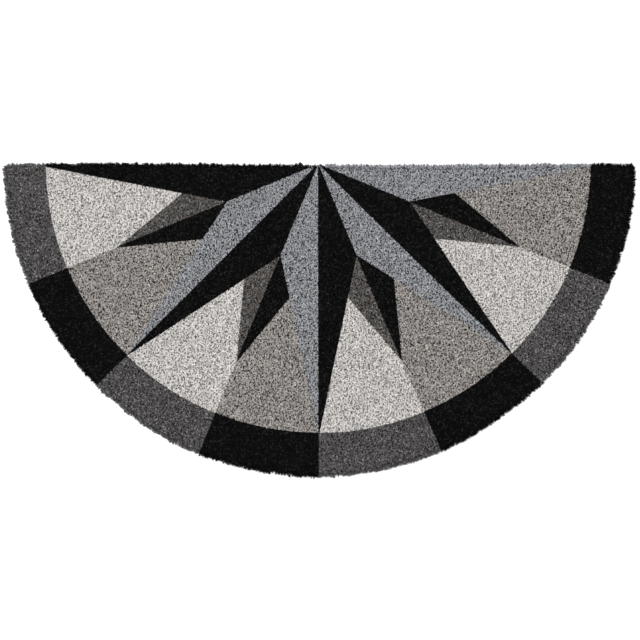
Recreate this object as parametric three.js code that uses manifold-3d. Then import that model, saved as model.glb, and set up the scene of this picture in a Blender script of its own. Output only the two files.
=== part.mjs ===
// A half round coir doormat: one slab of short, stiff coconut-fibre pile on its backing.
// Millimetres, +Z up. The mat lies flat on its underside with the pile on top, its
// straight edge towards +Y and its round edge towards -Y. The origin is on the underside,
// in the middle of the mat's width and depth.
import * as THREE from 'three';
import Module from 'manifold-3d';
import { mergeVertices } from 'three/addons/utils/BufferGeometryUtils.js';

// Driving dimensions
const RIM_RADIUS = 449; // round edge, about the middle of the full circle
const STRAIGHT_CUT_INSET = 3.8; // the straight edge lies this far inside the full diameter
const THICKNESS = 15; // backing and pile together
const PILE_ROUND = 4; // fibres splay outward, so the top of the pile rounds over the rim
const LEFT_CORNER_RADIUS = 2.5;
const RIGHT_CORNER_RADIUS = 6; // the right corner is worn rounder than the left one

// Sampling of the outline and of the rounded rim
const OUTLINE_STEPS = 380;
const ROUND_STEPS = 3;

// Slow departures of the cut from its true line. "at" is where one is greatest, "out" is how
// far it stands out there and "spread" is its half length. On the round edge "at" and
// "spread" are degrees from the middle of the arc, positive towards +X.
const ROUND_EDGE_WANDER = [
  { at: -27, out: 1.6, spread: 9 },
  { at: 14, out: -1.2, spread: 16 },
  { at: 37, out: -2.5, spread: 9 },
  { at: 82, out: 1.8, spread: 13 },
];
// On the straight edge they are millimetres along X.
const STRAIGHT_EDGE_WANDER = [
  { at: -300, out: 1.7, spread: 130 },
  { at: 130, out: -1.6, spread: 130 },
  { at: 395, out: 0.6, spread: 45 },
];
// Tufts make the cut edge ragged: whole waves once round the mat, and their height.
const TUFT_WAVES = [
  { count: 53, height: 0.4 },
  { count: 97, height: 0.4 },
  { count: 151, height: 0.35 },
];

// How far the cut edge stands out at one place, summed over a table of departures.
function wander(table, place) {
  return table.reduce(
    (sum, row) => sum + row.out * Math.exp(-(((place - row.at) / row.spread) ** 2)),
    0,
  );
}

// How far the tufts stand out at a share, 0 to 1, of the way round the mat.
function ragged(share) {
  return TUFT_WAVES.reduce(
    (sum, wave) => sum + wave.height * Math.sin(2 * Math.PI * wave.count * share),
    0,
  );
}

// The true cut: the round edge, the right corner, the straight edge and the left corner.
function trueCut() {
  const top = -STRAIGHT_CUT_INSET;
  const corner = (radius) => {
    const y = top - radius;
    const x = Math.sqrt((RIM_RADIUS - radius) ** 2 - y ** 2);
    return { radius, x, y, dip: Math.atan2(-y, x) };
  };
  const left = corner(LEFT_CORNER_RADIUS);
  const right = corner(RIGHT_CORNER_RADIUS);
  const path = new THREE.Path();
  path.absarc(0, 0, RIM_RADIUS, Math.PI + left.dip, 2 * Math.PI - right.dip, false);
  path.absarc(right.x, right.y, right.radius, -right.dip, Math.PI / 2, false);
  path.lineTo(-left.x, top);
  path.absarc(-left.x, left.y, left.radius, Math.PI / 2, Math.PI + left.dip, false);
  return path;
}

// The cut as it really runs: the true cut moved along its outward normal.
function matOutline() {
  const cut = trueCut().getSpacedPoints(OUTLINE_STEPS).slice(0, OUTLINE_STEPS);
  return cut.map((point, i) => {
    const before = cut[(i + OUTLINE_STEPS - 1) % OUTLINE_STEPS];
    const after = cut[(i + 1) % OUTLINE_STEPS];
    const along = after.clone().sub(before).normalize();
    const outward = new THREE.Vector2(along.y, -along.x);
    const angle = THREE.MathUtils.radToDeg(Math.atan2(point.x, -point.y));
    const slow = outward.y > 0.9
      ? wander(STRAIGHT_EDGE_WANDER, point.x)
      : wander(ROUND_EDGE_WANDER, angle);
    return point.clone().addScaledVector(outward, slow + ragged(i / OUTLINE_STEPS));
  });
}

// A closed geometry as a solid that can be cut.
function toSolid(wasm, geometry) {
  geometry.deleteAttribute('normal');
  geometry.deleteAttribute('uv');
  const merged = mergeVertices(geometry, 1e-4);
  return new wasm.Manifold(new wasm.Mesh({
    numProp: 3,
    vertProperties: new Float32Array(merged.attributes.position.array),
    triVerts: new Uint32Array(merged.index.array),
  }));
}

// A cut solid as a geometry again.
function toGeometry(solid) {
  const mesh = solid.getMesh();
  const geometry = new THREE.BufferGeometry();
  geometry.setAttribute('position', new THREE.BufferAttribute(mesh.vertProperties, 3));
  geometry.setIndex(new THREE.BufferAttribute(mesh.triVerts, 1));
  geometry.computeVertexNormals();
  return geometry;
}

// The slab: its outline raised, rounded at both faces, and cut flat through the straight wall
// above its lower rounding, so that only the top of the pile is rounded.
function matSlab(wasm) {
  const slab = new THREE.ExtrudeGeometry(new THREE.Shape(matOutline()), {
    depth: THICKNESS,
    bevelEnabled: true,
    bevelThickness: PILE_ROUND,
    bevelSize: PILE_ROUND,
    bevelOffset: -PILE_ROUND,
    bevelSegments: ROUND_STEPS,
  });
  slab.translate(0, 0, -PILE_ROUND);
  const floorSize = 2.5 * RIM_RADIUS;
  const floor = new THREE.BoxGeometry(floorSize, floorSize, THICKNESS);
  floor.translate(0, 0, -THICKNESS / 2);
  const geometry = toGeometry(toSolid(wasm, slab).subtract(toSolid(wasm, floor)));
  geometry.computeBoundingBox();
  const middle = geometry.boundingBox.getCenter(new THREE.Vector3());
  geometry.translate(-middle.x, -middle.y, 0);
  return geometry;
}

// Short coconut-fibre pile, dyed in greys: dull and dry.
const coir = new THREE.MeshStandardMaterial({ color: 0x6f6c69, roughness: 0.95, metalness: 0 });

const wasm = await Module();
wasm.setup();

const mat = new THREE.Mesh(matSlab(wasm), coir);
mat.name = 'coir_mat';

const doormat = new THREE.Group();
doormat.add(mat);

export default doormat;
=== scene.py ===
"""A half round coir doormat with an eight-pointed star dyed into its pile.

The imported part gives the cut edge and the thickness. The backing is one closed sheet, and
the pile that stands on it is real fibres, sorted into pieces by the dye that they took.
"""

import math

import bpy
import numpy as np
from bpy.props import FloatProperty, FloatVectorProperty, IntProperty, PointerProperty
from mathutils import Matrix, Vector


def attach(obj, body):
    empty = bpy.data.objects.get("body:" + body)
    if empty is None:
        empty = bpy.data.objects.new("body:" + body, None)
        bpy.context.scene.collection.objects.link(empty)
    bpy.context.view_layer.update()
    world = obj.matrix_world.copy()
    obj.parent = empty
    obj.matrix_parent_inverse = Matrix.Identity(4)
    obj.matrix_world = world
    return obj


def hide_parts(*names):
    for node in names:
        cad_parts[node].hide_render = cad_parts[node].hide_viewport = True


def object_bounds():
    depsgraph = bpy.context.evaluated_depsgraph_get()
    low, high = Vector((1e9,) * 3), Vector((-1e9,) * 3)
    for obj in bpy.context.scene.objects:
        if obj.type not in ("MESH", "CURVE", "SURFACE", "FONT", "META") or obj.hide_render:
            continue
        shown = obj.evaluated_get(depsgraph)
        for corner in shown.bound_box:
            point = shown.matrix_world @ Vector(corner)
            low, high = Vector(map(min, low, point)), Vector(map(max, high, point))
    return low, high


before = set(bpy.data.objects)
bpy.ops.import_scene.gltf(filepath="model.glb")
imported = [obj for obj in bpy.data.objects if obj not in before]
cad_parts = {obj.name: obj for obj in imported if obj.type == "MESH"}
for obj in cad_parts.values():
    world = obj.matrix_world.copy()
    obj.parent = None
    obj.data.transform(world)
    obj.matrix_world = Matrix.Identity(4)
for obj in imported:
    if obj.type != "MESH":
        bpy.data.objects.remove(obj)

bl_info = {
    "name": "Half Round Coir Doormat",
    "version": (1, 0, 0),
    "blender": (4, 5, 0),
    "location": "3D View > Sidebar > Doormat",
    "description": "Makes a half round coir doormat with a star dyed into its pile",
    "category": "Add Mesh",
}

MM = 0.001
NODE = "coir_mat"
BODY = "root"
BAKE_MAP = "OFBake"

BOX_LOW, BOX_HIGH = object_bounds()
WIDTH = BOX_HIGH.x - BOX_LOW.x
DEPTH = BOX_HIGH.y - BOX_LOW.y
THICKNESS = BOX_HIGH.z - BOX_LOW.z

# The dyes, in the order of their numbers.
DYES = ("black", "charcoal", "umber", "taupe", "slate", "ivory")
BLACK, CHARCOAL, UMBER, TAUPE, SLATE, IVORY = range(len(DYES))

# Half of the angle between two rays: a ray's own axis to the axis of the small kite beside it.
HALF_PERIOD = math.pi / 8
# The turn of the straight edge from straight down, less a hair to stay on this side of it.
EDGE_TURN = math.radians(89.9)


def length(name, description, default_mm):
    """A length property, given in millimetres and kept in metres."""
    return FloatProperty(
        name=name, description=description, default=default_mm * MM, precision=5, unit="LENGTH"
    )


def angle(name, description, default_degrees):
    """An angle property, given in degrees and kept in radians."""
    return FloatProperty(
        name=name, description=description, default=math.radians(default_degrees), subtype="ANGLE"
    )


def share(name, description, default):
    """A property from 0 to 1."""
    return FloatProperty(
        name=name, description=description, default=default, min=0.0, max=1.0, subtype="FACTOR"
    )


def times(name, description, default):
    """A property that multiplies another size or strength."""
    return FloatProperty(name=name, description=description, default=default, min=0.0)


def colour(name, description, default):
    """A colour property, in linear light."""
    return FloatVectorProperty(
        name=name, description=description, default=default, size=3, min=0.0, max=1.0, subtype="COLOR"
    )


def take(dye, dullest, brightest):
    """How unevenly a dye took: its dullest and its brightest fibre, as shares of the dye. The dullest end
    is partly painted shade, and the pits' painted shadow takes it too.
    """
    return FloatVectorProperty(
        name=f"{dye} take",
        description="The dullest and the brightest fibre, as shares of the dye",
        default=(dullest, brightest),
        size=2,
        min=0.0,
    )


class StarSettings(bpy.types.PropertyGroup):
    """The star and the ring round it. Angles are from straight down, positive towards +X."""

    centre_x: length("Centre X", "Where the rays meet", -1.1)
    centre_y: length("Centre Y", "Where the rays meet", 222.0)
    hub: length("Hub", "Radius of the black spot where the rays meet", 5.7)
    hub_aside: length("Hub aside", "How far that spot lies from the centre towards -X", 5.2)
    ray_tip: length("Ray tip", "Centre to the tip of a ray, which runs in under the ring", 385.8)
    edge_ray_tip: length("Edge ray tip", "The same for the half rays at the straight edge", 407.0)
    valley: length("Valley", "Centre to the valley between two rays", 140.6)
    kite_tip: length("Kite tip", "Centre to the tip of a small kite", 307.2)
    kite_side: length("Kite side", "Centre to the side point of a small kite", 189.4)
    kite_spread: angle("Kite spread", "A small kite's axis to its side point", 11.4)
    kite_swell: length("Kite swell", "How much broader a small kite is at the ends than midway", 1.1)
    bleed: length("Bleed", "How far the black dye ran over its neighbours", 0.55)
    ring_across: length("Ring across", "Inner radius of the ring at its two ends", 387.9)
    ring_down: length("Ring down", "Inner radius of the ring at its lowest point", 383.1)
    turned: angle("Turned", "How far the whole star is turned", 0.02)
    skew: angle("Skew", "How much further round the dye lies at its most skewed place", 0.74)
    skew_at: angle("Skew at", "Where the dye is most skewed", 34.0)
    skew_spread: angle("Skew spread", "Half of the angle that the skew takes up", 21.5)


class DyeSettings(bpy.types.PropertyGroup):
    """The six dyes, how evenly each took, and the painted shade at the fibres' roots and between their
    strands.
    """

    black: colour("Black", "Fibre dyed black", (0.0026, 0.00255, 0.0025))
    black_take: take("Black", 0.4, 19.0)
    charcoal: colour("Charcoal", "Fibre of the ring dyed dark grey", (0.103, 0.098, 0.098))
    charcoal_take: take("Charcoal", 0.02, 4.2)
    umber: colour("Umber", "Fibre of the small kites dyed dark warm grey", (0.109, 0.101, 0.0955))
    umber_take: take("Umber", 0.02, 4.2)
    taupe: colour("Taupe", "Fibre dyed warm mid grey", (0.364, 0.342, 0.321))
    taupe_take: take("Taupe", 0.02, 2.1)
    slate: colour("Slate", "Fibre dyed cool mid grey", (0.333, 0.344, 0.361))
    slate_take: take("Slate", 0.02, 1.9)
    ivory: colour("Ivory", "Fibre bleached off-white", (0.702, 0.674, 0.651))
    ivory_take: take("Ivory", 0.34, 1.12)
    strands: times("Strands", "Strands side by side over the whole range of tones", 420.0)
    # Painted shade in the seams between a fibre's strands.
    seam_shade: share("Seam shade", "How much darker a fibre is between its strands", 0.75)
    # Painted shade: a fibre's colour darkens towards its root.
    root_shade: share("Root shade", "How much darker a fibre is at its root", 0.1)


class PileSettings(bpy.types.PropertyGroup):
    """The fibres that stand on the backing, in clumps that lie side by side."""

    clump_spacing: length("Clump spacing", "From one clump to the next", 2.4)
    fibres: IntProperty(name="Fibres", description="Fibres in a clump", default=3, min=1)
    # Pits: gaps in the pile whose near-black floors are painted shadow.
    pit_spacing: length("Pit spacing", "From one pit in the pile to the next", 2.8)
    pit_least: length("Least pit", "Width of the smallest pit", 0.95)
    pit_most: length("Most pit", "Width of the largest pit", 1.9)
    pit_floor: times("Pit floor", "Width of a pit's dark floor, in widths of the pit", 1.5)
    pit_clear: times("Pit clear", "Radius free of fibre ends, in widths of the pit", 0.35)
    pit_length: times("Pit length", "Length of a pit's floor, in widths of the floor", 1.6)
    pit_turn: angle("Pit turn", "How far the pits turn from straight down", 25.0)
    fibre_width: length("Fibre width", "Width of a fibre", 0.95)
    fibre_pitch: length("Fibre pitch", "From one fibre of a clump to the next", 0.5)
    fan: share("Fan", "How much wider a clump is at its tips than at its roots", 0.4)
    lean_across: length("Lean across", "How far a clump leans along the straight edge", 0.5)
    lean_down: length("Lean down", "How far a clump leans away from the straight edge", 1.5)
    stray: length("Stray", "How far a fibre strays from its clump", 0.35)
    bright: share("Bright", "Share of the clumps that are bright", 0.08)
    bright_lean: share("Bright lean", "How far a bright clump leans, as a share of the others", 0.35)
    dullest_tone: share("Dullest tone", "Tone of the dullest fibre, from 0 to 1", 0.08)
    brightest_tone: share("Brightest tone", "Tone of the brightest fibre, from 0 to 1", 0.95)
    alike: share("Alike", "Share of a clump's fibres that took the dye alike", 0.8)
    wild: share("Wild", "Share of the fibres that lie over the others", 0.012)
    wild_lean: length("Wild lean", "How far a wild fibre leans", 2.6)
    uneven: length("Uneven", "How far short of the top a clump ends", 0.7)
    rounding: length("Rounding", "Radius of the pile's top over the cut edge", 4.0)
    splay: length("Splay", "How far a fibre at the cut edge leans out", 1.6)
    fray: length("Fray", "How unevenly the fibres of the cut edge stand out from it", 0.8)
    fray_clump: length("Fray clump", "Width of the fibres that stand out together", 2.2)
    rim_pitch: length("Rim pitch", "From one fibre of the cut edge to the next", 0.85)
    rim_step: length("Rim step", "How much further in each row of it ends", 0.7)
    rim_reach: length("Rim reach", "How far the first row reaches past the cut edge", 0.6)
    proud: length("Proud", "How much further they reach along one part of the straight edge", 1.15)
    proud_at: length("Proud at", "Where along the straight edge that part is", 180.0)
    proud_spread: length("Proud spread", "Half of the length of that part", 150.0)
    # Painted shade: the cut edge's fibres are held duller than the rest, against the brighter light that
    # falls on the edge.
    rim_shaded_brightest: share("Rim bright", "Tone of the brightest fibre of the cut edge", 0.62)
    rim_rows: IntProperty(name="Rim rows", description="Rows of fibres at the cut edge", default=5)
    seed: IntProperty(name="Seed", description="Seed of the pile's unevenness", default=7)


class BackingSettings(bpy.types.PropertyGroup):
    """The sheet that holds the pile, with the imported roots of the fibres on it."""

    inset: length("Inset", "How far the backing's edge lies behind the cut edge", 2.2)
    thickness: length("Backing thickness", "Thickness of the bare backing", 2.4)
    root_height: length("Root height", "How high the roots are packed solid", 11.4)
    vinyl: colour("Vinyl", "Colour of the backing's underside", (0.022, 0.022, 0.023))


class StageSettings(bpy.types.PropertyGroup):
    """The floor, the lights and the camera."""

    lens: FloatProperty(name="Lens", description="Focal length in millimetres", default=100.0)
    view_width: length("View width", "Width of what the camera sees at the pile's top", 910.0)
    aside: length("Aside", "How far the camera stands towards +X", 1.2)
    nearer: length("Nearer", "How far the camera stands towards -Y", 0.3)
    floor_size: length("Floor size", "Side of the floor", 12000.0)
    dome: times("Dome", "Strength of the light from all round", 0.72)
    lamp: FloatProperty(name="Lamp", description="Power of the soft lamp overhead, in watts", default=140.0)
    lamp_size: length("Lamp size", "Side of that square lamp", 2400.0)
    lamp_height: length("Lamp height", "How high it hangs", 2800.0)
    lamp_aside: length("Lamp aside", "How far it hangs towards -X", 200.0)
    lamp_behind: length("Lamp behind", "How far it hangs towards +Y", 250.0)


class DoormatSettings(bpy.types.PropertyGroup):
    """Everything that can be changed about the doormat."""

    star: PointerProperty(type=StarSettings)
    dyes: PointerProperty(type=DyeSettings)
    pile: PointerProperty(type=PileSettings)
    backing: PointerProperty(type=BackingSettings)
    stage: PointerProperty(type=StageSettings)


class Reading:
    """A shader value that takes part in Python sums: each sign adds one Math node."""

    def __init__(self, bench, socket):
        self.bench = bench
        self.socket = socket

    def __add__(self, other):
        return self.bench.math("ADD", self, other)

    def __radd__(self, other):
        return self.bench.math("ADD", other, self)

    def __sub__(self, other):
        return self.bench.math("SUBTRACT", self, other)

    def __rsub__(self, other):
        return self.bench.math("SUBTRACT", other, self)

    def __mul__(self, other):
        return self.bench.math("MULTIPLY", self, other)

    def __rmul__(self, other):
        return self.bench.math("MULTIPLY", other, self)

    def __truediv__(self, other):
        return self.bench.math("DIVIDE", self, other)

    def __pow__(self, other):
        return self.bench.math("POWER", self, other)

    def __rpow__(self, other):
        return self.bench.math("POWER", other, self)

    def __mod__(self, other):
        return self.bench.math("FLOORED_MODULO", self, other)

    def __lt__(self, other):
        return self.bench.math("LESS_THAN", self, other)

    def __gt__(self, other):
        return self.bench.math("GREATER_THAN", self, other)

    def __neg__(self):
        return self.bench.math("MULTIPLY", self, -1.0)

    def __abs__(self):
        return self.bench.math("ABSOLUTE", self)


class Bench:
    """The nodes of one material. Its sine, cosine and arctangent have numpy's names, so that
    one formula can run on arrays of places and in a shader."""

    def __init__(self, name):
        self.material = bpy.data.materials.new(name)
        self.material.use_nodes = True
        self.tree = self.material.node_tree
        self.tree.nodes.clear()

    def node(self, kind, settings=None, inputs=None):
        """A new node: its settings are set first, then its sockets get values or links."""
        node = self.tree.nodes.new(kind)
        for key, value in (settings or {}).items():
            if key == "stops":
                set_stops(node.color_ramp, value)
            else:
                setattr(node, key, value)
        for key, value in (inputs or {}).items():
            if isinstance(value, Reading):
                self.tree.links.new(value.socket, node.inputs[key])
            else:
                node.inputs[key].default_value = value
        return node

    def read(self, node, output):
        """One output of a node, ready for sums."""
        return Reading(self, node.outputs[output])

    def math(self, operation, *values):
        """A Math node on one, two or three values."""
        made = self.node("ShaderNodeMath", {"operation": operation}, dict(enumerate(values)))
        return self.read(made, 0)

    def arctan2(self, y, x):
        return self.math("ARCTAN2", y, x)

    def sin(self, value):
        return self.math("SINE", value)

    def cos(self, value):
        return self.math("COSINE", value)

    def minimum(self, first, second):
        return self.math("MINIMUM", first, second)

    def maximum(self, first, second):
        return self.math("MAXIMUM", first, second)

    def clamp(self, value):
        """A value kept from 0 to 1."""
        return self.maximum(0.0, self.minimum(1.0, value))

    def mix(self, amount, first, second):
        """A colour that goes from the first to the second as amount goes from 0 to 1."""
        made = self.node("ShaderNodeMix", {"data_type": "RGBA"}, {0: amount, 6: first, 7: second})
        return self.read(made, 2)

    def noise(self, vector, scale, detail=2.0):
        """Soft random values from 0 to 1 over a vector."""
        inputs = {"Vector": vector, "Scale": scale, "Detail": detail}
        return self.read(self.node("ShaderNodeTexNoise", None, inputs), 0)

    def cells(self, vector, scale):
        """Cells over a vector: one random value of each, and the distance to its middle."""
        made = self.node("ShaderNodeTexVoronoi", None, {"Vector": vector, "Scale": scale})
        own = self.node("ShaderNodeSeparateColor", None, {0: self.read(made, "Color")})
        return self.read(own, 0), self.read(made, "Distance")

    def bump(self, strength, deepest, height):
        """The surface raised by a height from 0 to 1 that stands for deepest metres."""
        inputs = {"Strength": strength, "Distance": deepest, "Height": height}
        return self.read(self.node("ShaderNodeBump", None, inputs), "Normal")

    def finish(self, **inputs):
        """Ends the material in a Principled shader with these sockets."""
        named = {key.replace("_", " ").title(): value for key, value in inputs.items()}
        named["Specular IOR Level"] = named.pop("Specular")
        shader = self.node("ShaderNodeBsdfPrincipled", None, named)
        self.node("ShaderNodeOutputMaterial", None, {"Surface": self.read(shader, "BSDF")})
        return self.material


def set_stops(ramp, stops):
    """Gives a colour ramp its stops, each a position and a colour."""
    while len(ramp.elements) < len(stops):
        ramp.elements.new(1.0)
    for element, (position, value) in zip(ramp.elements, stops):
        element.position = position
        element.color = value


def rgba(value, factor=1.0):
    """A linear colour times a factor, with full alpha, as sockets take it."""
    return tuple(min(1.0, factor * part) for part in value) + (1.0,)


def ring_reach(turn, star, maths):
    """The inner radius of the ring at a turn."""
    return star.ring_down + (star.ring_across - star.ring_down) * maths.sin(turn) ** 2


def dye_shares(x, y, star, maths):
    """Where each dye lies: 1 where it shows and 0 elsewhere, for every dye but black.

    x and y run from the star's centre, and may be arrays with maths as numpy, or shader
    readings with maths as their bench."""
    radius = (x * x + y * y) ** 0.5
    turn = maths.arctan2(x, -y)
    skewed = math.e ** -(((turn - star.skew_at) / star.skew_spread) ** 2)
    turn = turn - star.turned - star.skew * skewed * (radius / star.ring_across)
    # A place beyond the centre belongs to the straight edge on its own side.
    turn = maths.maximum(-EDGE_TURN, maths.minimum(turn, EDGE_TURN))

    # A place's turn from the nearest ray's axis, and from the small kite's axis beside it.
    from_ray = (turn + HALF_PERIOD) % (2 * HALF_PERIOD) - HALF_PERIOD
    from_kite = HALF_PERIOD - abs(from_ray)
    on_sunny_side = 1 * (from_ray > 0)
    on_shady_side = 1 - on_sunny_side

    # A ray narrows from its valley to its tip, and a small kite from its side point to its own.
    # Black lies on a ray's sunny side and a kite's shady one, and ran out over its neighbours.
    at_edge = 1 * (abs(turn) > math.pi / 2 - HALF_PERIOD)
    ray_tip = star.ray_tip + (star.edge_ray_tip - star.ray_tip) * at_edge
    ray_fall = (ray_tip - radius * maths.cos(from_ray)) / (
        ray_tip - math.cos(HALF_PERIOD) * star.valley
    )
    ray_room = math.sin(HALF_PERIOD) * star.valley * ray_fall + star.bleed * on_sunny_side
    kite_slope = math.sin(star.kite_spread) * star.kite_side / (
        star.kite_tip - math.cos(star.kite_spread) * star.kite_side
    )
    kite_room = (star.kite_tip - radius * maths.cos(from_kite)) * kite_slope
    kite_room = kite_room - star.kite_swell * maths.cos(2 * turn) + star.bleed * on_shady_side
    in_ray = 1 * (radius * maths.sin(abs(from_ray)) < ray_room)
    in_kite = (1 - in_ray) * (radius * maths.sin(from_kite) < kite_room)
    in_field = (1 - in_ray) * (1 - in_kite)
    ray_is_slate = 1 * (radius * maths.sin(from_ray) < star.bleed * (at_edge - 1))
    kite_is_umber = on_sunny_side * (radius * maths.sin(from_kite) > star.bleed)

    # The ring is cut into blocks half a period wide, dark grey and black in turn.
    in_grey_block = 1 * ((turn + math.pi / 2) % (2 * HALF_PERIOD) < HALF_PERIOD)
    in_ring = 1 * (radius > ring_reach(turn, star, maths) - star.bleed * (1 - in_grey_block))
    off_hub = 1 * ((x + star.hub_aside) ** 2 + y * y > star.hub**2)
    inside = (1 - in_ring) * off_hub
    return {
        CHARCOAL: in_ring * in_grey_block,
        UMBER: inside * in_kite * kite_is_umber,
        TAUPE: inside * in_field * on_shady_side,
        SLATE: inside * in_ray * ray_is_slate,
        IVORY: inside * in_field * on_sunny_side,
    }


def in_border(points, star):
    """Whether each place is in the ring round the star."""
    x = points[:, 0] - star.centre_x
    y = points[:, 1] - star.centre_y
    return np.hypot(x, y) > ring_reach(np.arctan2(x, -y), star, np)


class CutEdge:
    """The mat's cut edge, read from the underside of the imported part."""

    SEARCH = 40 * MM  # places deeper inside than this, seen from the middle, aren't measured
    FLAT = 0.01 * MM  # points no higher than this are on the underside
    LEAST_SQUARE = 0.4  # keeps a point near a sharp corner from being drawn in too far
    PLACES_AT_ONCE = 4000  # keeps the arrays of distances small

    def __init__(self):
        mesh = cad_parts[NODE].data
        corners = np.empty(len(mesh.vertices) * 3)
        mesh.vertices.foreach_get("co", corners)
        corners = corners.reshape(-1, 3)
        under = corners[corners[:, 2] < BOX_LOW.z + self.FLAT][:, :2]
        under = np.unique(under.round(7), axis=0)
        turns = np.arctan2(under[:, 1], under[:, 0])
        order = np.argsort(turns)
        self.points = under[order]
        self.turns = turns[order]
        self.reaches = np.hypot(*self.points.T)
        along = np.roll(self.points, -1, 0) - np.roll(self.points, 1, 0)
        along /= np.linalg.norm(along, axis=1)[:, None]
        self.outward = np.stack([along[:, 1], -along[:, 0]], 1)

    def inset(self, distance):
        """The cut edge drawn in by a distance. Each point moves straight towards the middle,
        so that the corners can't fold over."""
        towards = self.points / self.reaches[:, None]
        square = np.maximum(self.LEAST_SQUARE, np.sum(towards * self.outward, axis=1))
        return self.points - towards * (distance / square)[:, None]

    def gaps(self, places):
        """How far each place lies inside the cut edge, negative outside it, and the way out."""
        reach = np.interp(
            np.arctan2(places[:, 1], places[:, 0]), self.turns, self.reaches, period=2 * math.pi
        )
        spare = reach - np.hypot(*places.T)
        gap = np.full(len(places), self.SEARCH)
        out = np.zeros_like(places)
        step = np.roll(self.points, -1, 0) - self.points
        step_square = np.sum(step * step, axis=1)
        near = np.nonzero(spare < self.SEARCH)[0]
        for some in np.array_split(near, 1 + len(near) // self.PLACES_AT_ONCE):
            here = places[some]
            offset = here[:, None, :] - self.points
            along = np.clip(np.sum(offset * step, axis=2) / step_square, 0.0, 1.0)
            across = offset - along[:, :, None] * step
            far = np.einsum("ijk,ijk->ij", across, across)
            nearest = far.argmin(axis=1)
            rows = np.arange(len(some))
            side = np.where(spare[some] < 0, -1.0, 1.0)
            distance = np.sqrt(far[rows, nearest])
            gap[some] = side * distance
            towards = across[rows, nearest] / np.maximum(distance, 1e-9)[:, None]
            out[some] = -side[:, None] * towards
        return gap, out


def root_profile(backing):
    """The backing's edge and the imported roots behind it: how far inside the cut edge, and
    how high, from the foot of the edge to the level top."""
    edge = backing.inset
    bare = backing.thickness
    top = backing.root_height
    return [
        (edge, 0.0),
        (edge, 0.85 * bare),
        (edge + 0.4 * MM, bare),  # the backing's softened corner
        (edge + 1.0 * MM, bare + 0.8 * MM),  # the foot of the roots
        (edge + 1.8 * MM, top - 1.6 * MM),
        (edge + 3.4 * MM, top),
    ]


def pile_top(gap, pile):
    """The height of the pile's top at a distance inside the cut edge."""
    short = np.clip(pile.rounding - gap, 0.0, pile.rounding)
    return THICKNESS - pile.rounding + np.sqrt(pile.rounding**2 - short**2)


def new_mesh_piece(name, vertices, faces, smooth):
    """A mesh object in the scene. faces is a list of corner lists, or an array of triangles."""
    mesh = bpy.data.meshes.new(name)
    if isinstance(faces, np.ndarray):
        mesh.vertices.add(len(vertices))
        mesh.vertices.foreach_set("co", vertices.astype(np.float32).ravel())
        mesh.loops.add(faces.size)
        mesh.loops.foreach_set("vertex_index", faces.astype(np.int32).ravel())
        mesh.polygons.add(len(faces))
        mesh.polygons.foreach_set("loop_start", np.arange(0, faces.size, 3, dtype=np.int32))
        mesh.update(calc_edges=True)
    else:
        mesh.from_pydata([tuple(v) for v in vertices], [], faces)
    mesh.polygons.foreach_set("use_smooth", np.full(len(mesh.polygons), smooth))
    piece = bpy.data.objects.new(name, mesh)
    bpy.context.scene.collection.objects.link(piece)
    return piece


def add_bake_map(piece, corners):
    """Gives a piece its texture map, one place for each corner of each face."""
    layer = piece.data.uv_layers.new(name=BAKE_MAP)
    layer.data.foreach_set("uv", corners.astype(np.float32).ravel())


def belongs(piece):
    """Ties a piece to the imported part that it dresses."""
    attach(piece, BODY)
    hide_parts(NODE)


def fibre_material(name, dye, reach, dyes, sheen):
    """Dyed fibre. Across the texture map runs the fibre's own tone, dull to bright, and up it
    the height along the fibre."""
    dullest, brightest = reach
    # root is the painted shade colour at a fibre's root, and the second colour is the painted shade in the
    # seams between its strands.
    root, painted_seam_colour = rgba(dye, 0.15), rgba(dye, 0.1)
    # Most fibres took nearly the full strength of the dye, and few are at its two ends. The dull end, near
    # black for most dyes, is partly dull dye and partly painted shade of the gaps in the pile.
    tones = (0.15, 0.22, 0.42, 0.72, 0.86, 0.96)
    strengths = (dullest, 0.35, 0.94, 1.09, 0.7 + 0.3 * brightest, brightest)
    stops = [(at, rgba(dye, strength)) for at, strength in zip(tones, strengths)]
    strand_length = 3.0
    seam_level = 0.55
    seam_contrast = 3.2
    rough_tip, rougher_root = 0.75, 0.2

    bench = Bench(name)
    place = bench.node("ShaderNodeUVMap", {"uv_map": BAKE_MAP})
    parts = bench.node("ShaderNodeSeparateXYZ", None, {0: bench.read(place, "UV")})
    tone = bench.read(parts, "X")
    rise = bench.read(parts, "Y")
    ramp = bench.node("ShaderNodeValToRGB", {"stops": stops}, {"Fac": tone})
    # Painted shade: the colour darkens down the fibre towards the shaded root colour.
    painted_root_shade = (1 - rise) ** 1.5 * dyes.root_shade
    # Fine strands side by side in the width of a fibre, with painted shade in the seams between them.
    along = {"X": tone * dyes.strands, "Y": rise * strand_length}
    strands = bench.read(bench.node("ShaderNodeCombineXYZ", None, along), 0)
    in_seam_shade = bench.clamp(seam_contrast * (seam_level - bench.noise(strands, 1.0, 1.0)))
    body = bench.mix(painted_root_shade, bench.read(ramp, "Color"), root)
    return bench.finish(
        base_color=bench.mix(in_seam_shade * dyes.seam_shade, body, painted_seam_colour),
        roughness=rough_tip + rougher_root * (1 - rise),
        specular=sheen,
    )


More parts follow.
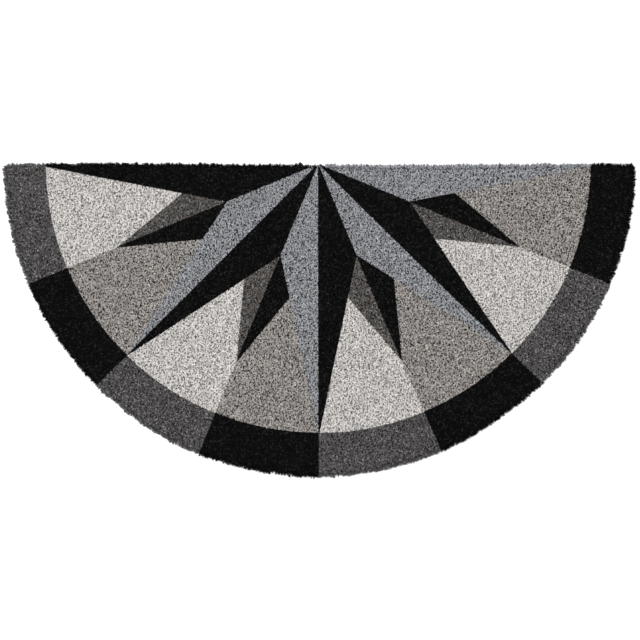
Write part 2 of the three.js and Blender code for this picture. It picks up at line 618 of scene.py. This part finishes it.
def root_material(star, dyes):
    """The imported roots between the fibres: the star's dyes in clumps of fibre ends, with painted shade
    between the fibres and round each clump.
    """
    clumps_a_metre, ends_a_metre, bends_a_metre = 520.0, 900.0, 700.0
    fibre_width = 0.62 * MM
    bend = 1.2 * MM
    shade_between_fibres, shade_round_clump = 0.4, 0.4  # painted shade: how dark it is between fibres and round a clump
    dullest_end, end_range = 0.9, 0.8
    relief = 0.6 * MM

    bench = Bench("packed_roots")
    place = bench.node("ShaderNodeTexCoord")
    where = bench.read(place, "Object")
    parts = bench.node("ShaderNodeSeparateXYZ", None, {0: where})
    x = bench.read(parts, "X")
    y = bench.read(parts, "Y")
    shares = dye_shares(x - star.centre_x, y - star.centre_y, star, bench)
    cover = rgba(dyes.black)
    for number, amount in shares.items():
        cover = bench.mix(amount, cover, rgba(getattr(dyes, DYES[number])))
    # Clumps of fibres side by side, each clump in a direction of its own, and the cut ends
    # of the fibres, each with a tone of its own.
    bent = bend * (bench.noise(where, bends_a_metre) - 0.5)
    direction, from_middle = bench.cells(where, clumps_a_metre)
    lies = 2 * math.pi * direction
    across = x * bench.cos(lies) + y * bench.sin(lies) + bent
    fibre = 0.5 + 0.5 * bench.sin(across * (2 * math.pi / fibre_width))
    # Painted shade: darker between the fibres and towards the rim of each clump. The same height also gives
    # the bump.
    height = (shade_between_fibres + (1 - shade_between_fibres) * fibre) * (1 - shade_round_clump * from_middle)
    end_tone, _ = bench.cells(where, ends_a_metre)
    light = (dullest_end + end_range * end_tone) * height
    return bench.finish(
        base_color=bench.mix(light, (0.0, 0.0, 0.0, 1.0), cover),
        roughness=0.85 + 0.1 * height,
        specular=0.1,
        normal=bench.bump(0.7, relief, height),
    )


def vinyl_material(backing):
    """The backing's underside and edge: dull vinyl with a fine grain."""
    dark, pale = rgba(backing.vinyl, 0.55), rgba(backing.vinyl, 1.7)
    relief = 0.6 * MM

    bench = Bench("vinyl_backing")
    where = bench.read(bench.node("ShaderNodeTexCoord"), "Object")
    grain = bench.noise(where, 900.0)
    orange_peel = bench.noise(where, 160.0)
    flow = bench.noise(where, 22.0, 5.0)
    uneven = bench.clamp(2.6 * flow + 1.2 * orange_peel + 0.4 * grain - 1.6)
    return bench.finish(
        base_color=bench.mix(uneven, dark, pale),
        roughness=0.6 + 0.2 * grain,
        specular=0.4,
        normal=bench.bump(0.5, relief, grain + 3 * orange_peel),
    )


class DOORMAT_OT_make_backing(bpy.types.Operator):
    """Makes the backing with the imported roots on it, as one closed sheet"""

    bl_idname = "doormat.make_backing"
    bl_label = "Make Backing"

    # The map holds the top with its edge unfolded round it, and the underside below that.
    MAP_WIDTH = 0.94
    TOP_MIDDLE = (0.5, 0.75)
    UNDER_MIDDLE = (0.5, 0.25)

    def execute(self, context):
        settings = context.scene.doormat
        edge = CutEdge()
        profile = root_profile(settings.backing)
        count = len(edge.points)
        rings = [np.column_stack([edge.inset(gap), np.full(count, z)]) for gap, z in profile]
        vertices = np.concatenate(rings)
        walls = []
        for low in range(len(rings) - 1):
            for i in range(count):
                j = (i + 1) % count
                walls.append([low * count + i, low * count + j,
                              (low + 1) * count + j, (low + 1) * count + i])
        top = [(len(rings) - 1) * count + i for i in range(count)]
        under = list(range(count))[::-1]
        base = new_mesh_piece("backing", vertices, walls + [top, under], False)
        add_bake_map(base, self.unfold(edge, profile, walls, top, under))
        base.data.materials.append(root_material(settings.star, settings.dyes))
        base.data.materials.append(vinyl_material(settings.backing))
        bare = np.zeros(len(base.data.polygons), dtype=np.int32)
        bare[:count] = 1
        bare[-1] = 1
        base.data.polygons.foreach_set("material_index", bare)
        belongs(base)
        return {"FINISHED"}

    def unfold(self, edge, profile, walls, top, under):
        """The texture map: each ring of the edge lies round the top at its distance along the
        profile, and the underside lies by itself."""
        steps = [math.dist(a, b) for a, b in zip(profile, profile[1:])]
        spread = [profile[-1][0] - sum(steps[low:]) for low in range(len(profile))]
        flat = np.concatenate([edge.inset(gap) for gap in spread]) / self.MAP_WIDTH
        upper = flat + self.TOP_MIDDLE
        lower = edge.inset(profile[0][0]) / self.MAP_WIDTH + self.UNDER_MIDDLE
        corners = [upper[np.ravel(walls)], upper[top], lower[under]]
        return np.concatenate(corners)


class DOORMAT_OT_make_pile(bpy.types.Operator):
    """Makes the pile: fibres in tufts, sorted into one piece for each dye"""

    bl_idname = "doormat.make_pile"
    bl_label = "Make Pile"

    SINK = 0.6 * MM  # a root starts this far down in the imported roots
    DYED_AT = 0.7  # a fibre takes the dye that lies at this share of its way up
    WIDTHS = (0.75, 1.25)  # the narrowest and the widest fibre, as shares of the fibre width
    SHEEN = 0.25
    BLACK_SHEEN = 0.06

    # How far inside the cut edge the clumps, the pits and the wild fibres start.
    CLUMP_MARGIN = 2.6 * MM
    PIT_MARGIN = 4 * MM
    WILD_MARGIN = 8 * MM
    SPLAY_FADE = 6 * MM  # the splay of the cut edge fades over this distance

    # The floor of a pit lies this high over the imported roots, at its two ends.
    PIT_LOW = 0.05 * MM
    PIT_HIGH = 0.35 * MM
    # A pit's near-black tone is painted shadow.
    PIT_SHADOW_TONE = 0.02
    PITS_A_CELL = 3

    PLACE_JITTER = 0.45  # in clump spacings
    LEANS = (0.6, 1.4)  # the least and the most lean in a clump, as shares of the clump's
    SHORTNESS = 0.2 * MM  # how unevenly the fibres of one clump end
    BRIGHT_TONES = (0.89, 0.97)
    WILD_TONES = (0.87, 0.97)

    # The rim's fibres are rooted this far inside the cut edge, and further row by row.
    RIM_ROOT = 2.4 * MM
    RIM_ROW = 0.7 * MM
    RIM_JITTER = 0.4 * MM
    STRAIGHT = 0.9  # the cut edge is the straight one where it faces +Y by at least this

    # Corners of a fibre in the map, about its tone: they keep its sides from folding flat.
    MAP_CORNERS = ((-0.005, 0.0), (0.005, 0.0), (-0.005, 1.0), (0.005, 1.0))
    MAP_MARGIN = 0.01

    def execute(self, context):
        settings = context.scene.doormat
        pile = settings.pile
        rng = np.random.default_rng(pile.seed)
        edge = CutEdge()
        pits, pit_widths = self.pits(edge, pile, rng)
        fields = [self.clumps(edge, pile, rng), self.rim(edge, pile, rng)]
        roots, tips, tones, shorts = (np.concatenate(part) for part in zip(*fields))
        clear = pile.pit_clear * pit_widths
        roots = self.clear_of(roots, pits, clear, pile)
        tips = self.clear_of(tips, pits, clear, pile)
        gap, _ = edge.gaps(roots)
        heights = np.array(root_profile(settings.backing)).T
        root_z = np.interp(gap, heights[0][1:], heights[1][1:]) - self.SINK
        roots = np.column_stack([roots, root_z])
        tips = np.column_stack([tips, pile_top(gap, pile) - shorts])
        widths = pile.fibre_width * rng.uniform(*self.WIDTHS, len(roots))

        # A pit is one short, broad, near-black end that lies on the imported roots: painted shadow at the
        # bottom of a gap in the pile.
        level = np.full(len(pits), settings.backing.root_height)
        roots = np.concatenate([roots, np.column_stack([pits, level + self.PIT_LOW])])
        tips = np.concatenate([tips, np.column_stack([pits, level + self.PIT_HIGH])])
        tones = np.concatenate([tones, np.full(len(pits), self.PIT_SHADOW_TONE)])
        widths = np.concatenate([widths, pile.pit_floor * pit_widths])
        turns = rng.uniform(0.0, 2 * math.pi, len(roots))
        turns[-len(pits):] = rng.normal(0.0, pile.pit_turn, len(pits))
        tip_widths = widths.copy()
        tip_widths[-len(pits):] *= pile.pit_length

        dyed = (roots + self.DYED_AT * (tips - roots))[:, :2]
        star = settings.star
        shares = dye_shares(dyed[:, 0] - star.centre_x, dyed[:, 1] - star.centre_y, star, np)
        numbers = sum(number * amount for number, amount in shares.items())
        border = in_border(dyed, star)
        groups = {f"pile_{DYES[n]}": (n, numbers == n) for n in range(CHARCOAL, len(DYES))}
        groups["pile_black_border"] = (BLACK, (numbers == BLACK) & border)
        groups["pile_black_star"] = (BLACK, (numbers == BLACK) & ~border)
        for name, (number, mine) in groups.items():
            shape = (part[mine] for part in (roots, tips, widths, tip_widths, turns, tones))
            piece = self.fibres(name, *shape)
            dye = getattr(settings.dyes, DYES[number])
            reach = getattr(settings.dyes, DYES[number] + "_take")
            sheen = self.BLACK_SHEEN if number == BLACK else self.SHEEN
            piece.data.materials.append(fibre_material(name, dye, reach, settings.dyes, sheen))
            belongs(piece)
        return {"FINISHED"}

    def pits(self, edge, pile, rng):
        """The places and widths of the pits, where the pile parts down to its roots."""
        columns = math.ceil(WIDTH / pile.pit_spacing)
        rows = math.ceil(DEPTH / pile.pit_spacing)
        x, y = np.meshgrid(np.arange(columns), np.arange(rows))
        places = np.column_stack([x.ravel(), y.ravel()]) + rng.uniform(0.0, 1.0, (x.size, 2))
        places = places * pile.pit_spacing + (BOX_LOW.x, BOX_LOW.y)
        gap, _ = edge.gaps(places)
        places = places[gap > self.PIT_MARGIN]
        return places, rng.uniform(pile.pit_least, pile.pit_most, len(places))

    def clear_of(self, places, pits, radii, pile):
        """The places, each moved straight out of the pit that it is in."""
        moved = places.copy()
        cell = 2 * pile.pit_most
        columns = math.ceil(WIDTH / cell) + 4
        origin = np.array((BOX_LOW.x - 2 * cell, BOX_LOW.y - 2 * cell))
        pit_cells = ((pits - origin) / cell).astype(int)
        numbers = pit_cells[:, 1] * columns + pit_cells[:, 0]
        order = np.argsort(numbers)
        numbers = numbers[order]
        cells = ((places - origin) / cell).astype(int)
        for step_y in (-1, 0, 1):
            for step_x in (-1, 0, 1):
                wanted = (cells[:, 1] + step_y) * columns + cells[:, 0] + step_x
                first = np.searchsorted(numbers, wanted)
                for later in range(self.PITS_A_CELL):
                    index = np.minimum(first + later, len(numbers) - 1)
                    pit = order[index]
                    away = places - pits[pit]
                    far = np.maximum(np.linalg.norm(away, axis=1), 1e-6)
                    inside = (numbers[index] == wanted) & (far < radii[pit])
                    push = np.where(inside, (radii[pit] - far) / far, 0.0)
                    moved += away * push[:, None]
        return moved

    def clumps(self, edge, pile, rng):
        """Roots, tips, tones and shortness of the fibres that stand in clumps all over the mat."""
        columns = np.arange(BOX_LOW.x, BOX_HIGH.x, pile.clump_spacing)
        rows = np.arange(BOX_LOW.y, BOX_HIGH.y, pile.clump_spacing * math.sqrt(0.75))
        x, y = np.meshgrid(columns, rows)
        x[1::2] += pile.clump_spacing / 2
        places = np.column_stack([x.ravel(), y.ravel()])
        jitter = rng.uniform(-self.PLACE_JITTER, self.PLACE_JITTER, places.shape)
        places += jitter * pile.clump_spacing
        gap, out = edge.gaps(places)
        kept = gap > self.CLUMP_MARGIN
        places, gap, out = places[kept], gap[kept], out[kept]
        lean = rng.normal(0.0, (pile.lean_across, pile.lean_down), places.shape)
        lean += out * (0.5 * pile.splay * np.exp(-gap / self.SPLAY_FADE))[:, None]
        aside = np.column_stack([-lean[:, 1], lean[:, 0]]) / np.linalg.norm(lean, axis=1)[:, None]
        short = np.abs(rng.normal(0.0, pile.uneven, len(places)))
        bright = rng.uniform(0.0, 1.0, len(places)) > 1 - pile.bright
        lean[bright] *= pile.bright_lean
        short[bright] = 0.0

        clump = np.repeat(np.arange(len(places)), pile.fibres)
        number = np.tile(np.arange(pile.fibres), len(places)) - (pile.fibres - 1) / 2
        off = aside[clump] * (number * pile.fibre_pitch)[:, None]
        roots = places[clump] + off + rng.normal(0.0, pile.stray, off.shape)
        tips = roots + lean[clump] * rng.uniform(*self.LEANS, len(clump))[:, None] + pile.fan * off
        wild = (rng.uniform(0.0, 1.0, len(clump)) < pile.wild) & (gap[clump] > self.WILD_MARGIN)
        tips += rng.normal(0.0, 1.0, tips.shape) * np.where(wild, pile.wild_lean, pile.stray)[:, None]
        tones = self.tones(len(clump), pile, rng)
        alike = rng.uniform(0.0, 1.0, len(clump)) < pile.alike
        tones = np.where(alike, self.tones(len(places), pile, rng)[clump], tones)
        tones = np.where(bright[clump], rng.uniform(*self.BRIGHT_TONES, len(clump)), tones)
        tones = np.where(wild, rng.uniform(*self.WILD_TONES, len(clump)), tones)
        shorts = short[clump] + np.abs(rng.normal(0.0, self.SHORTNESS, len(clump)))
        return roots, tips, tones, np.where(wild, 0.0, shorts)

    def rim(self, edge, pile, rng):
        """The same for the fibres along the cut edge, which lean out over it."""
        ahead = np.roll(edge.points, -1, 0) - edge.points
        reach = np.concatenate([[0.0], np.cumsum(np.linalg.norm(ahead, axis=1))])
        closed = np.vstack([edge.points, edge.points[:1]])
        normals = np.vstack([edge.outward, edge.outward[:1]])
        stands = rng.normal(0.0, pile.fray, 2 + int(reach[-1] / pile.fray_clump))
        roots, tips = [], []
        for row in range(pile.rim_rows):
            along = np.arange(0.0, reach[-1], pile.rim_pitch)
            along += rng.uniform(-0.5, 0.5, len(along)) * pile.rim_pitch
            at = np.column_stack([np.interp(along, reach, closed[:, k]) for k in (0, 1)])
            out = np.column_stack([np.interp(along, reach, normals[:, k]) for k in (0, 1)])
            depth = self.RIM_ROOT + self.RIM_ROW * row
            depth = depth + rng.uniform(-self.RIM_JITTER, self.RIM_JITTER, len(along))
            short = pile.rim_step * row - pile.rim_reach + rng.normal(0.0, pile.stray, len(along))
            short += stands[(along / pile.fray_clump).astype(int)]
            part = np.exp(-(((at[:, 0] - pile.proud_at) / pile.proud_spread) ** 2))
            short -= pile.proud * part * (out[:, 1] > self.STRAIGHT) * (1 - row / pile.rim_rows)
            aside = rng.normal(0.0, self.RIM_JITTER, (len(along), 2))
            roots.append(at - out * depth[:, None])
            tips.append(at - out * short[:, None] + aside)
        roots = np.concatenate(roots)
        # Painted shade: the cut edge's tones stop short of the brightest, so the edge reads as dark as the
        # pile inside.
        tones = rng.uniform(pile.dullest_tone, pile.rim_shaded_brightest, len(roots))
        return roots, np.concatenate(tips), tones, np.abs(rng.normal(0.0, pile.uneven, len(roots)))

    def tones(self, count, pile, rng):
        """Tones from 0, dull, to 1, bright."""
        return rng.uniform(pile.dullest_tone, pile.brightest_tone, count)

    def fibres(self, name, roots, tips, widths, tip_widths, turns, tones):
        """One piece of flat fibres, each closed and with a quarter twist from root to tip."""
        count = len(roots)
        flat = np.column_stack([np.cos(turns), np.sin(turns), np.zeros(count)])
        twisted = np.column_stack([-flat[:, 1], flat[:, 0], flat[:, 2]])
        flat *= widths[:, None] / 2
        twisted *= tip_widths[:, None] / 2
        corners = np.stack([roots - flat, roots + flat, tips - twisted, tips + twisted], axis=1)
        pattern = np.array([(0, 1, 2), (0, 3, 1), (1, 3, 2), (0, 2, 3)])
        faces = (4 * np.arange(count)[:, None, None] + pattern).reshape(-1, 3)
        piece = new_mesh_piece(name, corners.reshape(-1, 3), faces, True)
        spot = np.column_stack([tones, np.zeros(count)])[:, None, :] + np.array(self.MAP_CORNERS)
        spot = self.MAP_MARGIN + (1 - 2 * self.MAP_MARGIN) * spot
        add_bake_map(piece, spot.reshape(-1, 2)[faces.ravel()])
        return piece


class DOORMAT_OT_declare_sheet(bpy.types.Operator):
    bl_idname = "doormat.declare_sheet"
    bl_label = "Declare Sheet"

    def execute(self, context):
        edge = CutEdge().points
        after = np.roll(edge, -1, 0)
        area = 0.5 * abs(np.sum(edge[:, 0] * after[:, 1] - after[:, 0] * edge[:, 1]))
        return {"FINISHED"}


class DOORMAT_OT_set_stage(bpy.types.Operator):
    """Sets the pale floor, the soft lights and the camera straight above the mat"""

    bl_idname = "doormat.set_stage"
    bl_label = "Set Stage"

    FLOOR_DROP = 0.05 * MM  # the floor lies this far under the mat
    PAPER = (0.86, 0.86, 0.86, 1.0)

    def execute(self, context):
        stage = context.scene.doormat.stage
        self.floor(stage)
        self.lights(context, stage)
        self.camera(context, stage)
        return {"FINISHED"}

    def floor(self, stage):
        half = stage.floor_size / 2
        low = BOX_LOW.z - self.FLOOR_DROP
        vertices = [(-half, -half, low), (half, -half, low), (half, half, low), (-half, half, low)]
        floor = new_mesh_piece("floor", vertices, [[0, 1, 2, 3]], False)
        paper = Bench("floor_paper").finish(base_color=self.PAPER, roughness=0.9, specular=0.1)
        floor.data.materials.append(paper)

    def lights(self, context, stage):
        world = bpy.data.worlds.new("dome")
        context.scene.world = world
        world.use_nodes = True
        sky = world.node_tree.nodes["Background"]
        sky.inputs["Color"].default_value = (1.0, 1.0, 1.0, 1.0)
        sky.inputs["Strength"].default_value = stage.dome
        light = bpy.data.lights.new("overhead", "AREA")
        light.shape = "SQUARE"
        light.size = stage.lamp_size
        light.energy = stage.lamp
        lamp = bpy.data.objects.new("overhead", light)
        lamp.location = (-stage.lamp_aside, stage.lamp_behind, stage.lamp_height)
        lamp.rotation_euler = (-lamp.location).to_track_quat("-Z", "Y").to_euler()
        lamp.visible_camera = False
        context.scene.collection.objects.link(lamp)

    def camera(self, context, stage):
        lens = bpy.data.cameras.new("camera")
        lens.lens = stage.lens
        camera = bpy.data.objects.new("camera", lens)
        height = BOX_HIGH.z + stage.view_width * stage.lens / lens.sensor_width
        camera.location = (stage.aside, -stage.nearer, height)
        context.scene.collection.objects.link(camera)
        context.scene.camera = camera
        context.scene.view_settings.view_transform = "Standard"


class DOORMAT_PT_panel(bpy.types.Panel):
    """Lists the steps that make the doormat"""

    bl_label = "Half Round Coir Doormat"
    bl_idname = "DOORMAT_PT_panel"
    bl_space_type = "VIEW_3D"
    bl_region_type = "UI"
    bl_category = "Doormat"

    def draw(self, context):
        for step in STEPS:
            self.layout.operator(step.bl_idname)
        settings = context.scene.doormat
        for group in (settings.star, settings.dyes, settings.pile, settings.backing, settings.stage):
            box = self.layout.box()
            for name in group.__annotations__:
                box.prop(group, name)


GROUPS = (StarSettings, DyeSettings, PileSettings, BackingSettings, StageSettings, DoormatSettings)
STEPS = (
    DOORMAT_OT_set_stage,
    DOORMAT_OT_make_backing,
    DOORMAT_OT_make_pile,
    DOORMAT_OT_declare_sheet,
)


def register():
    """Makes the settings, the steps and the panel known."""
    for item in (*GROUPS, *STEPS, DOORMAT_PT_panel):
        bpy.utils.register_class(item)
    bpy.types.Scene.doormat = PointerProperty(type=DoormatSettings)


def unregister():
    """Takes them away again."""
    del bpy.types.Scene.doormat
    for item in reversed((*GROUPS, *STEPS, DOORMAT_PT_panel)):
        bpy.utils.unregister_class(item)


def main():
    register()
    bpy.ops.doormat.set_stage()
    bpy.ops.doormat.make_backing()
    bpy.ops.doormat.make_pile()
    bpy.ops.doormat.declare_sheet()


if __name__ == "__main__":
    main()
